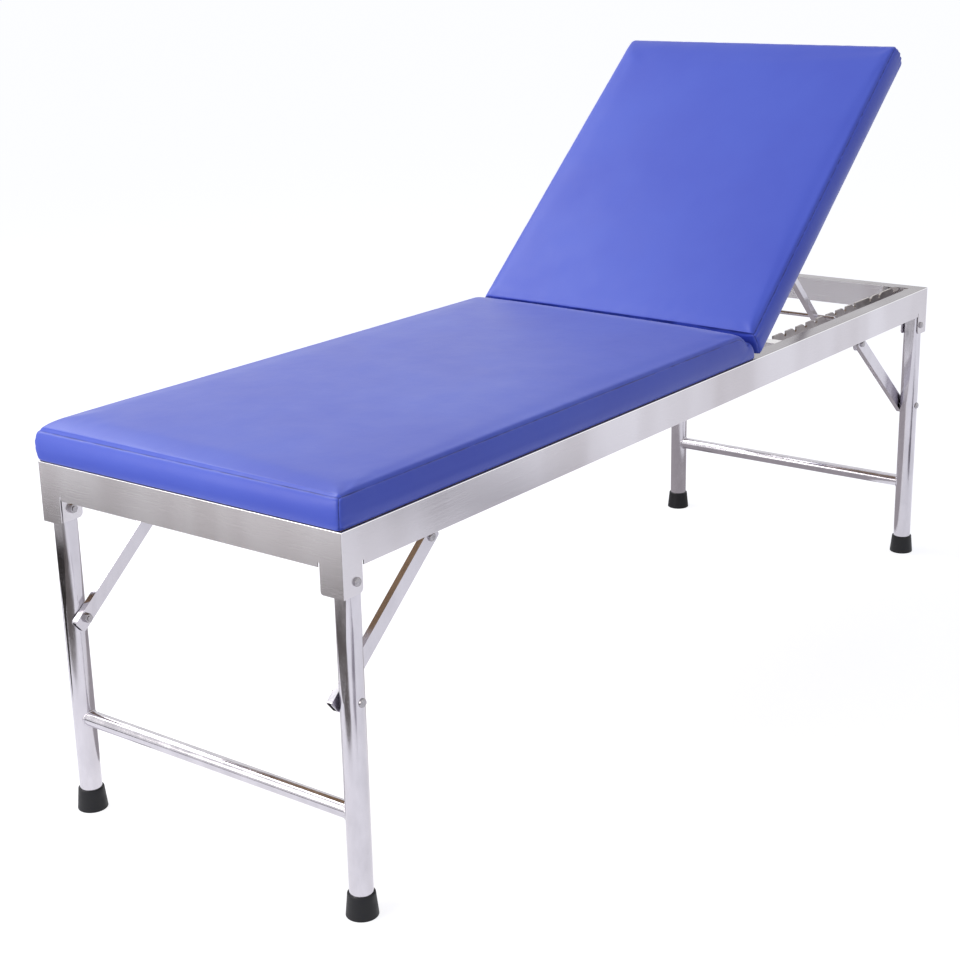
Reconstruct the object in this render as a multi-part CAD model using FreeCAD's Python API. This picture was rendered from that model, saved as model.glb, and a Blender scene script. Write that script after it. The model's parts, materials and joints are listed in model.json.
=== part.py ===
"""Recovery couch with a folding steel frame and a backrest held by a bar prop.

Millimetres. The origin is on the floor under the middle of the couch, +X runs along
the couch to the head end, +Y to the right of a person lying on it, and +Z is up.
"""
import FreeCAD, Part
import os
from math import atan2, cos, degrees, hypot, radians, sin, sqrt

Vector = FreeCAD.Vector

# Overall size
couch_length = 1900.0
couch_width = 610.0
frame_top = 591.0

# Rails, folded from sheet
sheet = 1.5
flange_width = 29.7
apron_depth = 57.0
bend_radius = 1.2
relief_width = 3.0
relief_height = 7.0

# Corner brackets, bent from sheet around the top of each leg
side_ear_width = 40.0
end_ear_width = 42.0
ear_drop = 39.0
ear_corner_radius = 8.0
inner_plate = 2.0
inner_plate_gap = 7.5

# Legs, crossbars and rubber feet
leg_diameter = 36.0
leg_wall = 1.5
leg_end_inset = 27.0
leg_pivot_drop = 20.0
leg_top_overhang = 18.0
leg_flat_half = 14.0
crossbar_diameter = 25.4
crossbar_wall = 1.2
crossbar_height = 161.0
foot_height = 37.0
foot_top_diameter = 41.5
foot_bottom_diameter = 49.0
foot_sole = 6.0
foot_edge_radius = 1.5

# Struts and the brackets that hold their upper ends
strut_width = 25.0
strut_thickness = 10.2
strut_wall = 1.5
strut_run = 208.0
strut_pivot_drop = 24.0
strut_bolt_height = 336.0
strut_top_overhang = 14.0
strut_end_overhang = 20.0
strut_end_radius = 4.0
strut_leg_gap = 0.6
bracket_sheet = 3.0
bracket_width = 30.0
bracket_shelf_rise = 35.0
bracket_wall_height = 35.0
bracket_tab_end = 15.0

# Bolts, nuts and screws
bolt_radius = 4.0
bolt_head_radius = 6.75
bolt_head_height = 4.5
bolt_head_rounding = 3.2
nut_across_flats = 13.0
nut_height = 6.0
stud_radius = 3.0
stud_nut_across_flats = 10.0
stud_nut_height = 5.0
washer_radius = 9.0
washer_thickness = 1.6
screw_radius = 2.2
screw_head_radius = 4.5
screw_head_height = 2.4
screw_depth = 8.0

# Crossmembers
crossmember_size = 30.0
crossmember_wall = 1.5
hinge_crossmember_setback = 69.0
rack_crossmember_ahead = 133.0

# Backrest hinge
hinge_from_head = 746.0
backrest_angle = 40.3
leaf_thickness = 1.5
leaf_length = 52.0
leaf_width = 70.0
leaf_inset = 155.0
knuckle_radius = 6.0
knuckle_end_width = 20.0
leaf_setback = 7.0
pin_radius = 3.0
pin_head_radius = 4.5
pin_head_height = 2.0

# Boards and pads
seat_screw_count = 4
seat_screw_foot_margin = 90.0
seat_screw_hinge_margin = 144.0
board_thickness = 10.0
board_margin = 3.0
pad_thickness = 54.0
pad_end_margin = 2.0
pad_side_margin = 2.0
pad_edge_radius = 12.0
seat_end_gap = 17.5
seat_end_radius = 60.0
backrest_start = 8.0
backrest_length = 736.0
backrest_bevel_start = 12.0
backrest_bevel_length = 32.0

# Prop and racks
prop_pivot_along = 272.5
prop_pivot_below = 5.0
prop_bracket_sheet = 3.0
prop_bracket_length = 46.0
prop_bracket_base = 28.0
prop_ear_length = 29.0
prop_ear_overhang = 8.0
arm_size = 12.0
arm_wall = 1.5
arm_overhang = 9.0
rod_radius = 4.0
rod_ahead = 393.0
rod_depth = 5.0
rod_side_reach = 17.2
rack_inset = 65.0
rack_thickness = 4.0
rack_depth = 29.0
rack_tab_width = 37.0
rack_shoulder = 12.0
rack_start_shoulder = 24.0
rack_end_shoulder = 34.0
rack_lug_radius = 10.0
notch_pitch = 43.5
notches_before_rod = 4
notches_after_rod = 3
end_notch_count = 2
end_notch_offset = 75.5
notch_radius = 4.5
notch_slope = 9.0
rack_stud_inset = 10.0
rack_stud_depth = 12.0

# Clearances
running_gap = 0.05
side_gap = 0.3
rod_end_gap = 0.4
hinge_gap = 0.3

# Places worked out from the sizes
half_length = couch_length / 2
half_width = couch_width / 2
apron_bottom = frame_top - apron_depth
under_flange = frame_top - sheet
ear_bottom = apron_bottom - ear_drop
leg_radius = leg_diameter / 2
leg_x = half_length - leg_end_inset
leg_y = half_width - leg_radius
leg_pivot_height = apron_bottom - leg_pivot_drop
strut_pivot_x = leg_x - strut_run
strut_pivot_height = apron_bottom - strut_pivot_drop
bracket_shelf_height = strut_pivot_height + bracket_shelf_rise
bracket_wall_top = bracket_shelf_height + bracket_wall_height
hinge_x = half_length - hinge_from_head
hinge_height = frame_top - knuckle_radius
seat_crossmember_x = (hinge_x - half_length) / 2
hinge_crossmember_x = hinge_x - hinge_crossmember_setback
rack_crossmember_x = hinge_x + rack_crossmember_ahead
leaf_y = half_width - leaf_inset
leg_top = leg_pivot_height + leg_top_overhang
leg_inner_face = leg_y - leg_radius
strut_outer_face = leg_inner_face - strut_leg_gap
strut_inner_face = strut_outer_face - strut_thickness
bracket_tab_face = strut_inner_face - side_gap
nut_face_in_strut = strut_inner_face
board_lift = side_gap
seat_board_end = hinge_x - seat_end_gap - board_margin
seat_pad_end = hinge_x - seat_end_gap
backrest_board_w = frame_top - hinge_height + board_lift
screw_hole_radius = screw_radius + running_gap
bolt_hole_radius = bolt_radius + running_gap
rod_x = hinge_x + rod_ahead
rod_height = under_flange - rod_depth
rack_y = half_width - rack_inset
rack_inner_face = rack_y - rack_thickness / 2
rack_end = half_length - sheet
rack_start = rack_crossmember_x + crossmember_size / 2
arm_y = rack_inner_face - rod_side_reach - arm_size / 2
prop_bracket_face = arm_y - arm_size / 2 - hinge_gap
seat_screw_y = half_width - flange_width / 2 - sheet

ALONG_X = Vector(1, 0, 0)
ALONG_Y = Vector(0, 1, 0)
ALONG_Z = Vector(0, 0, 1)
ORIGIN = Vector(0, 0, 0)


def box(x0, x1, y0, y1, z0, z1):
    """A block between two corners."""
    return Part.makeBox(x1 - x0, y1 - y0, z1 - z0, Vector(x0, y0, z0))


def rod_y(radius, x, z, y0, y1):
    """A round bar along Y from y0 to y1."""
    return Part.makeCylinder(radius, y1 - y0, Vector(x, y0, z), ALONG_Y)


def rod_z(radius, x, y, z0, z1):
    """A round bar along Z from z0 to z1."""
    return Part.makeCylinder(radius, z1 - z0, Vector(x, y, z0), ALONG_Z)


def prism_y(points, y0, y1):
    """A flat outline of (x, z) points carried along Y."""
    corners = [Vector(x, y0, z) for x, z in points]
    face = Part.Face(Part.makePolygon(corners + corners[:1]))
    return face.extrude(Vector(0, y1 - y0, 0))


def prism_x(points, x0, x1):
    """A flat outline of (y, z) points carried along X."""
    corners = [Vector(x0, y, z) for y, z in points]
    face = Part.Face(Part.makePolygon(corners + corners[:1]))
    return face.extrude(Vector(x1 - x0, 0, 0))


def prism_z(points, z0, z1):
    """A flat outline of (x, y) points carried along Z."""
    corners = [Vector(x, y, z0) for x, y in points]
    face = Part.Face(Part.makePolygon(corners + corners[:1]))
    return face.extrude(Vector(0, 0, z1 - z0))


def join(*shapes):
    """One solid from shapes that meet, with the seams between flat faces removed."""
    return shapes[0].multiFuse(list(shapes[1:])).removeSplitter()


def near(a, b):
    """Two places are the same."""
    return abs(a - b) < 0.01


def rounded(shape, radius, pick):
    """The shape with the edges that pick accepts rounded."""
    edges = [edge for edge in shape.Edges if pick(edge.BoundBox)]
    return shape.makeFillet(radius, edges)


def hexagon(across_flats, x, z, y0, y1):
    """A hexagonal bar along Y."""
    corner = across_flats / sqrt(3)
    points = [(x + corner * cos(radians(60 * k)), z + corner * sin(radians(60 * k))) for k in range(6)]
    return prism_y(points, y0, y1)


def dome_head(x, z, face):
    """A round bolt head that stands on the face y and is domed outwards."""
    head = rod_y(bolt_head_radius, x, z, face, face + bolt_head_height)
    return rounded(head, bolt_head_rounding, lambda b: near(b.YMin, face + bolt_head_height) and near(b.YMax, b.YMin))


def nut(x, z, y0, y1):
    """A hexagon nut along Y with its bore."""
    return hexagon(nut_across_flats, x, z, y0, y1).cut(rod_y(bolt_hole_radius, x, z, y0, y1))


def place(shape, end, side):
    """Carry a shape built at the head end on the right to another end or side."""
    if end < 0:
        shape = shape.mirror(ORIGIN, ALONG_X)
    if side < 0:
        shape = shape.mirror(ORIGIN, ALONG_Y)
    return shape


def lean(shape):
    """Turn a shape built with the backrest flat to the angle of the raised backrest."""
    shape.rotate(Vector(hinge_x, 0, hinge_height), Vector(0, -1, 0), backrest_angle)
    return shape


def save(name, *shapes):
    """Write one node, as a solid or as a group of separate solids."""
    solid = shapes[0] if len(shapes) == 1 else Part.makeCompound(list(shapes))
    solid.exportStep("parts/" + name + ".step")
    print(name, len(solid.Solids), round(solid.Volume, 1), solid.isValid())


# Rails

def seat_screw_places():
    """Where the screws stand that hold the seat board to the flange of one side, evenly spaced."""
    first = seat_screw_foot_margin - half_length
    last = hinge_x - seat_screw_hinge_margin
    pitch = (last - first) / (seat_screw_count - 1)
    return [(first + pitch * k, seat_screw_y) for k in range(seat_screw_count)]


def side_rail():
    """The right rail: a mitred top flange and an apron that stops at the corner brackets."""
    flange = prism_z([(-half_length, half_width), (half_length, half_width),
                      (half_length - flange_width, half_width - flange_width),
                      (flange_width - half_length, half_width - flange_width)], under_flange, frame_top)
    apron_end = half_length - side_ear_width
    apron = box(-apron_end, apron_end, half_width - sheet, half_width, apron_bottom, under_flange)
    rail = join(flange, apron)
    for end in (-1, 1):
        x = end * apron_end
        low, high = min(x, x - end * relief_width), max(x, x - end * relief_width)
        rail = rail.cut(box(low, high, half_width - sheet, half_width, apron_bottom, apron_bottom + relief_height))
    rail = rounded(rail, bend_radius, lambda b: near(b.ZMin, frame_top) and near(b.YMin, half_width))
    for x, y in seat_screw_places():
        rail = rail.cut(rod_z(screw_hole_radius, x, y, under_flange, frame_top))
    return rail


def end_rail():
    """The head rail: a mitred top flange and an apron between the corner brackets."""
    flange = prism_z([(half_length, -half_width), (half_length, half_width),
                      (half_length - flange_width, half_width - flange_width),
                      (half_length - flange_width, flange_width - half_width)], under_flange, frame_top)
    apron_end = half_width - end_ear_width
    apron = box(half_length - sheet, half_length, -apron_end, apron_end, apron_bottom, under_flange)
    rail = join(flange, apron)
    for side in (-1, 1):
        y = side * apron_end
        low, high = min(y, y - side * relief_width), max(y, y - side * relief_width)
        rail = rail.cut(box(half_length - sheet, half_length, low, high, apron_bottom, apron_bottom + relief_height))
    return rounded(rail, bend_radius, lambda b: near(b.ZMin, frame_top) and near(b.XMin, half_length))


def corner_bracket():
    """A side ear, an end ear and an inner plate, bent around the top of a leg."""
    side_ear = box(half_length - side_ear_width, half_length, half_width - sheet, half_width, ear_bottom, under_flange)
    side_ear = rounded(side_ear, ear_corner_radius, lambda b: near(b.XMax, half_length - side_ear_width)
                       and near(b.ZMin, ear_bottom) and near(b.ZMax, ear_bottom))
    end_ear = box(half_length - sheet, half_length, half_width - end_ear_width, half_width, ear_bottom, under_flange)
    end_ear = rounded(end_ear, ear_corner_radius / 2, lambda b: near(b.YMax, half_width - end_ear_width)
                      and near(b.ZMin, ear_bottom) and near(b.ZMax, ear_bottom))
    plate_y = inner_plate_face()
    plate_x = half_length - side_ear_width - ear_corner_radius
    plate = box(plate_x, half_length - sheet, plate_y - inner_plate, plate_y, ear_bottom, under_flange)
    plate = rounded(plate, ear_corner_radius, lambda b: near(b.XMax, plate_x) and near(b.ZMin, ear_bottom)
                    and near(b.ZMax, ear_bottom))
    slot = box(half_length - sheet - inner_plate_gap, half_length - sheet, plate_y - inner_plate, plate_y,
               ear_bottom, apron_bottom - sheet)
    bracket = join(side_ear, end_ear, plate.cut(slot))
    bracket = rounded(bracket, bend_radius, lambda b: near(b.XMin, half_length) and near(b.YMin, half_width))
    return bracket.cut(rod_y(bolt_hole_radius, leg_x, leg_pivot_height, 0, half_width))


def flat_at(z):
    """Half the distance across the leg's pressed flats at a height, if they were not cut off."""
    share = (z - strut_bolt_height) / (leg_top - strut_bolt_height)
    return leg_radius + (leg_flat_half - leg_radius) * share


def inner_plate_face():
    """The face of the inner plate: beside the leg's flat where it is widest within the plate."""
    reach = hypot(side_ear_width, ear_drop) - leg_pivot_drop
    return leg_y - flat_at(leg_pivot_height - reach) - side_gap


def crossmember(x):
    """A square tube between the side rails, under their flanges."""
    half = crossmember_size / 2
    reach = half_width - sheet
    outer = box(x - half, x + half, -reach, reach, under_flange - crossmember_size, under_flange)
    inner = box(x - half + crossmember_wall, x + half - crossmember_wall, -reach, reach,
                under_flange - crossmember_size + crossmember_wall, under_flange - crossmember_wall)
    return outer.cut(inner)


# Racks

def notch_places():
    """Each notch's x and the way its slope faces: whole pitches from the rod, then two turned round."""
    regular = [(rod_x + notch_pitch * k, -1) for k in range(-notches_before_rod, notches_after_rod + 1)]
    first = regular[-1][0] + end_notch_offset
    return regular + [(first + notch_pitch * k, 1) for k in range(end_notch_count)]


def rack():
    """A toothed plate, lower at both ends, from the crossmember to the head rail, with a tab bent along that rail."""
    top = under_flange
    low = top - rack_depth
    outer_face = rack_y + rack_thickness / 2
    plate = box(rack_start, rack_end, rack_inner_face, outer_face, low, top)
    lug_end = rack_end - rack_end_shoulder
    plate = plate.cut(box(rack_start, rack_start + rack_start_shoulder, rack_inner_face, outer_face, top - rack_shoulder, top))
    plate = plate.cut(box(lug_end, rack_end, rack_inner_face, outer_face, top - rack_shoulder, top))
    plate = rounded(plate, rack_lug_radius, lambda b: near(b.XMin, lug_end) and near(b.XMax, lug_end) and near(b.ZMax, top)
                    and near(b.ZMin, top))
    for x, way in notch_places():
        seat = rod_y(notch_radius, x, rod_height, rack_inner_face, outer_face)
        mouth = prism_y([(x - way * notch_radius, rod_height), (x - way * notch_radius, top),
                         (x + way * (notch_radius + notch_slope), top), (x + way * notch_radius, rod_height)],
                        rack_inner_face, outer_face)
        plate = plate.cut(seat).cut(mouth)
    tab = box(rack_end - rack_thickness, rack_end, outer_face - rack_tab_width, outer_face, low, top)
    stud = rack_stud_place()
    hole = Part.makeCylinder(stud_radius + running_gap, rack_thickness, Vector(rack_end - rack_thickness, *stud), ALONG_X)
    return join(plate, tab).cut(hole)


def rack_stud_place():
    """The y and z of the stud that fastens a rack's tab to the head rail."""
    outer_face = rack_y + rack_thickness / 2
    return outer_face - rack_tab_width + rack_stud_inset, under_flange - rack_stud_inset


def rack_bolt():
    """A bolt whose hexagon head lies on the rack's tab and whose shank ends on the head rail."""
    y, z = rack_stud_place()
    corner = stud_nut_across_flats / sqrt(3)
    points = [(y + corner * cos(radians(60 * k)), z + corner * sin(radians(60 * k))) for k in range(6)]
    face = rack_end - rack_thickness
    head = prism_x(points, face - stud_nut_height, face)
    shank = Part.makeCylinder(stud_radius, rack_thickness, Vector(face, y, z), ALONG_X)
    return join(head, shank)


# Seat

def screw(x, y, head_face):
    """A pan head screw that points up, its head under head_face."""
    head = rod_z(screw_head_radius, x, y, head_face - screw_head_height, head_face)
    shank = rod_z(screw_radius, x, y, head_face, head_face + screw_depth)
    return join(head, shank)


def leaf_screw_places():
    """How far along a hinge leaf and how far to each side of its middle the screws stand."""
    reach = leaf_length - 3 * screw_head_radius
    aside = leaf_width / 2 - 2 * screw_head_radius
    return [(reach, -aside), (reach, aside)]


def seat_board():
    """The board under the seat pad, drilled for its screws."""
    side = half_width - pad_side_margin - board_margin
    board = box(pad_end_margin + board_margin - half_length, seat_board_end, -side, side,
                frame_top, frame_top + board_thickness)
    for cut in seat_screw_shanks():
        board = board.cut(cut)
    return board


def seat_screws():
    """Screws through the flanges and through the seat side hinge leaves."""
    found = []
    for side in (-1, 1):
        for x, y in seat_screw_places():
            found.append(screw(x, side * y, under_flange))
        for along, aside in leaf_screw_places():
            found.append(screw(hinge_x - along, side * leaf_y + aside, frame_top - leaf_thickness))
    return found


def seat_screw_shanks():
    """The holes that the seat screws need in the board."""
    holes = []
    for side in (-1, 1):
        for x, y in seat_screw_places():
            holes.append(rod_z(screw_hole_radius, x, side * y, frame_top, under_flange + screw_depth))
        for along, aside in leaf_screw_places():
            holes.append(rod_z(screw_hole_radius, hinge_x - along, side * leaf_y + aside, frame_top,
                               frame_top - leaf_thickness + screw_depth))
    return holes


def seat_pad():
    """The long pad, wrapped over the edges of its board, rounded away at the hinge end."""
    start = pad_end_margin - half_length
    side = half_width - pad_side_margin
    top = frame_top + pad_thickness
    pad = box(start, seat_pad_end, -side, side, frame_top, top)
    pad = rounded(pad, pad_edge_radius, lambda b: (near(b.ZMin, top) and not near(b.XMin, seat_pad_end))
                  or (near(b.XMax, start) and b.ZLength > pad_edge_radius))
    centre_x = seat_pad_end - seat_end_radius
    block = box(centre_x, seat_pad_end, -half_width, half_width, frame_top, top)
    curve = rod_y(seat_end_radius, centre_x, frame_top, -half_width, half_width)
    pad = pad.cut(block.cut(curve))
    board_side = side - board_margin
    pocket = box(start + board_margin, seat_board_end, -board_side, board_side, frame_top, frame_top + board_thickness)
    return pad.cut(pocket)


# Legs

def flats(radius, half):
    """Four wedges that press a round bar square towards its top, none at the strut bolt."""
    top = leg_top + bend_radius
    share = (top - strut_bolt_height) / (leg_top - strut_bolt_height)
    half_top = radius + (half - radius) * share
    out = radius + sheet
    wedges = []
    for sign in (-1, 1):
        side = [(sign * radius, strut_bolt_height), (sign * out, strut_bolt_height),
                (sign * out, top), (sign * half_top, top)]
        wedges.append(prism_y([(leg_x + u, z) for u, z in side], leg_y - out, leg_y + out))
        wedges.append(prism_x([(leg_y + u, z) for u, z in side], leg_x - out, leg_x + out))
    return wedges


def leg():
    """A round tube with flats pressed into its upper part, bored for its two bolts."""
    outer = rod_z(leg_radius, leg_x, leg_y, foot_sole, leg_top).cut(Part.makeCompound(flats(leg_radius, leg_flat_half)))
    bore_radius = leg_radius - leg_wall
    inner = rod_z(bore_radius, leg_x, leg_y, foot_sole, leg_top)
    inner = inner.cut(Part.makeCompound(flats(bore_radius, leg_flat_half - leg_wall)))
    tube = outer.cut(inner)
    for z in (leg_pivot_height, strut_bolt_height):
        tube = tube.cut(rod_y(bolt_hole_radius, leg_x, z, leg_y - leg_diameter, leg_y + leg_diameter))
    return tube


def crossbar():
    """The tube between the two legs of an end, its ends shaped to the legs."""
    along = 2 * leg_y
    centre = Vector(leg_x, -leg_y, crossbar_height)
    tube = Part.makeCylinder(crossbar_diameter / 2, along, centre, ALONG_Y)
    tube = tube.cut(Part.makeCylinder(crossbar_diameter / 2 - crossbar_wall, along, centre, ALONG_Y))
    for side in (-1, 1):
        tube = tube.cut(rod_z(leg_radius, leg_x, side * leg_y, 0, 2 * crossbar_height))
    return tube


def rubber_foot():
    """A tapered rubber cup over the end of a leg."""
    cup = Part.makeCone(foot_bottom_diameter / 2, foot_top_diameter / 2, foot_height, Vector(leg_x, leg_y, 0), ALONG_Z)
    cup = rounded(cup, foot_edge_radius, lambda b: b.ZLength < 0.01)
    return cup.cut(rod_z(leg_radius, leg_x, leg_y, foot_sole, foot_height))


def leg_pivot_bolt():
    """The bolt through the side ear, the washer, the leg and the inner plate."""
    shank_end = inner_plate_face() - inner_plate - nut_height - sheet
    shank = rod_y(bolt_radius, leg_x, leg_pivot_height, shank_end, half_width)
    return join(dome_head(leg_x, leg_pivot_height, half_width), shank)


def leg_pivot_nut():
    """The nut on the inner plate."""
    face = inner_plate_face() - inner_plate
    return nut(leg_x, leg_pivot_height, face - nut_height, face)


def leg_pivot_washer():
    """The spacer washer between the side ear and the leg's flat."""
    face = half_width - sheet
    ring = rod_y(washer_radius, leg_x, leg_pivot_height, face - washer_thickness, face)
    return ring.cut(rod_y(bolt_hole_radius, leg_x, leg_pivot_height, face - washer_thickness, face))


def strut_bolt():
    """The half of the strut's lower bolt that stays in the leg, its head shaped to the tube."""
    head = dome_head(leg_x, strut_bolt_height, half_width - sheet / 2)
    head = head.cut(rod_z(leg_radius, leg_x, leg_y, strut_bolt_height - leg_radius, strut_bolt_height + leg_radius))
    shank = rod_y(bolt_radius, leg_x, strut_bolt_height, leg_inner_face, half_width)
    return join(head, shank)


# Struts

def strut_line():
    """The length of a strut between its bolts and its angle down from the upper bolt, in degrees."""
    run = leg_x - strut_pivot_x
    fall = strut_pivot_height - strut_bolt_height
    return hypot(run, fall), degrees(atan2(fall, run))


def strut():
    """A flat tube from the bolt under the side rail down to the bolt in the leg."""
    length, fall = strut_line()
    half = strut_width / 2
    start = strut_pivot_x - strut_top_overhang
    end = strut_pivot_x + length + strut_end_overhang
    tube = box(start, end, strut_inner_face, strut_outer_face, strut_pivot_height - half, strut_pivot_height + half)
    tube = rounded(tube, strut_end_radius, lambda b: b.YLength > strut_thickness / 2
                   and b.XLength < 0.01 and b.ZLength < 0.01)
    tube = tube.cut(box(start, end, strut_inner_face + strut_wall, strut_outer_face - strut_wall,
                        strut_pivot_height - half + strut_wall, strut_pivot_height + half - strut_wall))
    for x in (strut_pivot_x, strut_pivot_x + length):
        tube = tube.cut(rod_y(bolt_hole_radius, x, strut_pivot_height, strut_inner_face, strut_outer_face))
    tube.rotate(Vector(strut_pivot_x, 0, strut_pivot_height), ALONG_Y, fall)
    return tube


def strut_nut():
    """The half of the lower bolt that stays in the strut: a nut on the rest of the shank."""
    lower = hexagon(nut_across_flats, leg_x, strut_bolt_height, nut_face_in_strut - nut_height, nut_face_in_strut)
    shank = rod_y(bolt_radius, leg_x, strut_bolt_height, nut_face_in_strut - nut_height - sheet, strut_outer_face)
    return join(lower, shank)


def strut_bracket():
    """A strip folded in a Z from the apron's inner face over the strut and down beside it."""
    low, high = strut_pivot_x - bracket_width / 2, strut_pivot_x + bracket_width / 2
    wall_face = half_width - sheet
    shelf_top = bracket_shelf_height + bracket_sheet
    wall = box(low, high, wall_face - bracket_sheet, wall_face, bracket_shelf_height, bracket_wall_top)
    shelf = box(low, high, bracket_tab_face - bracket_sheet, wall_face, bracket_shelf_height, shelf_top)
    tab_end = strut_pivot_height - bracket_tab_end
    tab = box(low, high, bracket_tab_face - bracket_sheet, bracket_tab_face, tab_end, shelf_top)
    tab = rounded(tab, bracket_width / 2 - 2 * bend_radius, lambda b: near(b.ZMax, tab_end) and b.XLength < 0.01)
    strip = join(wall, shelf, tab)
    return strip.cut(rod_y(bolt_hole_radius, strut_pivot_x, strut_pivot_height, bracket_tab_face - bracket_sheet,
                           bracket_tab_face))


def strut_pivot_bolt():
    """The bolt that a strut turns on, its head on the side of the leg."""
    shank_end = bracket_tab_face - bracket_sheet - nut_height - sheet
    face = strut_outer_face + running_gap
    shank = rod_y(bolt_radius, strut_pivot_x, strut_pivot_height, shank_end, face)
    return join(dome_head(strut_pivot_x, strut_pivot_height, face), shank)


def strut_pivot_nut():
    """The nut behind the bracket's tab."""
    face = bracket_tab_face - bracket_sheet
    return nut(strut_pivot_x, strut_pivot_height, face - nut_height, face)


# Hinges

def knuckle_spans():
    """The stretches along Y of one hinge: two end knuckles of the seat leaf, one of the backrest leaf."""
    half = leaf_width / 2
    inner = half - knuckle_end_width
    ends = [(-half, -inner), (inner, half)]
    middle = [(hinge_gap - inner, inner - hinge_gap)]
    return ends, middle


def hinge_leaf(direction, top, own, other):
    """A leaf from the pin in one direction along X, its top at a height, with its own knuckles."""
    low = min(hinge_x, hinge_x + direction * leaf_length)
    high = max(hinge_x, hinge_x + direction * leaf_length)
    half = leaf_width / 2
    leaf = box(low, high, leaf_y - half, leaf_y + half, top - leaf_thickness, top)
    for y0, y1 in other:
        leaf = leaf.cut(box(hinge_x - leaf_setback, hinge_x + leaf_setback, leaf_y + y0 - hinge_gap,
                            leaf_y + y1 + hinge_gap, top - leaf_thickness, top))
    knuckles = [rod_y(knuckle_radius, hinge_x, hinge_height, leaf_y + y0, leaf_y + y1) for y0, y1 in own]
    leaf = join(leaf, *knuckles)
    leaf = leaf.cut(rod_y(pin_radius + running_gap, hinge_x, hinge_height, leaf_y - leaf_width, leaf_y + leaf_width))
    for along, aside in leaf_screw_places():
        leaf = leaf.cut(rod_z(screw_hole_radius, hinge_x + direction * along, leaf_y + aside, top - leaf_thickness, top))
    return leaf


def hinge_pin():
    """The pin of one hinge with a flat head at both ends."""
    half = leaf_width / 2 + running_gap
    pin = rod_y(pin_radius, hinge_x, hinge_height, leaf_y - half, leaf_y + half)
    first = rod_y(pin_head_radius, hinge_x, hinge_height, leaf_y - half - pin_head_height, leaf_y - half)
    second = rod_y(pin_head_radius, hinge_x, hinge_height, leaf_y + half, leaf_y + half + pin_head_height)
    return join(pin, first, second)


# Backrest, built flat and then leaned

def backrest_screw_places():
    """The x, y and head height of the screws in the backrest board."""
    under = hinge_height + backrest_board_w
    places = []
    for side in (-1, 1):
        for along, aside in leaf_screw_places():
            places.append((hinge_x + along, side * leaf_y + aside, under - leaf_thickness))
        for sign in (-1, 1):
            x = hinge_x + prop_pivot_along + sign * (prop_bracket_length / 2 - 2 * screw_head_radius)
            y = side * (prop_bracket_face - prop_bracket_base / 2 - prop_bracket_sheet)
            places.append((x, y, under - prop_bracket_sheet))
    return places


def backrest_board():
    """The board of the backrest, drilled for its screws."""
    side = half_width - pad_side_margin - board_margin
    under = hinge_height + backrest_board_w
    start = hinge_x + backrest_start + board_margin
    board = box(start, hinge_x + backrest_start + backrest_length - board_margin, -side, side, under, under + board_thickness)
    for x, y, z in backrest_screw_places():
        board = board.cut(rod_z(screw_hole_radius, x, y, z, z + screw_depth))
    return lean(board)


def backrest_screws():
    """Screws through the hinge leaves and the prop brackets into the backrest board."""
    return [lean(screw(x, y, z)) for x, y, z in backrest_screw_places()]


def backrest_pad():
    """The backrest's pad, wrapped over the edges of its board, bevelled at the hinge end."""
    side = half_width - pad_side_margin
    under = hinge_height + backrest_board_w
    top = under + pad_thickness
    start = hinge_x + backrest_start
    end = start + backrest_length
    pad = box(start, end, -side, side, under, top)
    pad = rounded(pad, pad_edge_radius, lambda b: (near(b.ZMin, top) and not near(b.XMax, start))
                  or (near(b.XMin, end) and b.ZLength > pad_edge_radius))
    bevel = prism_y([(start, under + backrest_bevel_start), (start + backrest_bevel_length, top), (start, top)],
                    -half_width, half_width)
    board_side = side - board_margin
    pocket = box(start + board_margin, end - board_margin, -board_side, board_side, under, under + board_thickness)
    return lean(pad.cut(bevel).cut(pocket))


def prop_pivot_flat():
    """The x and z of the prop's pivot with the backrest flat."""
    return hinge_x + prop_pivot_along, hinge_height - prop_pivot_below


def prop_bracket():
    """An angle under the backrest board whose ear carries the prop's pivot bolt."""
    x, z = prop_pivot_flat()
    under = hinge_height + backrest_board_w
    half = prop_bracket_length / 2
    inner_face = prop_bracket_face - prop_bracket_sheet
    base = box(x - half, x + half, inner_face - prop_bracket_base, prop_bracket_face, under - prop_bracket_sheet, under)
    ear_low = z - prop_ear_overhang
    ear_half = prop_ear_length / 2
    ear = box(x - ear_half, x + ear_half, inner_face, prop_bracket_face, ear_low, under)
    ear = rounded(ear, prop_ear_overhang - bend_radius, lambda b: near(b.ZMax, ear_low) and b.XLength < 0.01)
    angle = join(base, ear).cut(rod_y(bolt_hole_radius, x, z, inner_face, prop_bracket_face))
    for sx, sy, sz in backrest_screw_places():
        angle = angle.cut(rod_z(screw_hole_radius, sx, sy, under - prop_bracket_sheet, under))
    return angle


def prop_pivot_bolt():
    """The bolt that an arm turns on, its head outside the arm."""
    x, z = prop_pivot_flat()
    face = arm_y + arm_size / 2 + hinge_gap
    shank_end = prop_bracket_face - prop_bracket_sheet - nut_height - sheet
    return join(dome_head(x, z, face), rod_y(bolt_radius, x, z, shank_end, face))


def prop_pivot_nut():
    """The nut on the inner side of the bracket's ear."""
    x, z = prop_pivot_flat()
    face = prop_bracket_face - prop_bracket_sheet
    return nut(x, z, face - nut_height, face)


# Prop

def prop_pivot_leaned():
    """The x and z of the prop's pivot with the backrest raised."""
    a = radians(backrest_angle)
    x = hinge_x + prop_pivot_along * cos(a) + prop_pivot_below * sin(a)
    z = hinge_height + prop_pivot_along * sin(a) - prop_pivot_below * cos(a)
    return x, z


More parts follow.
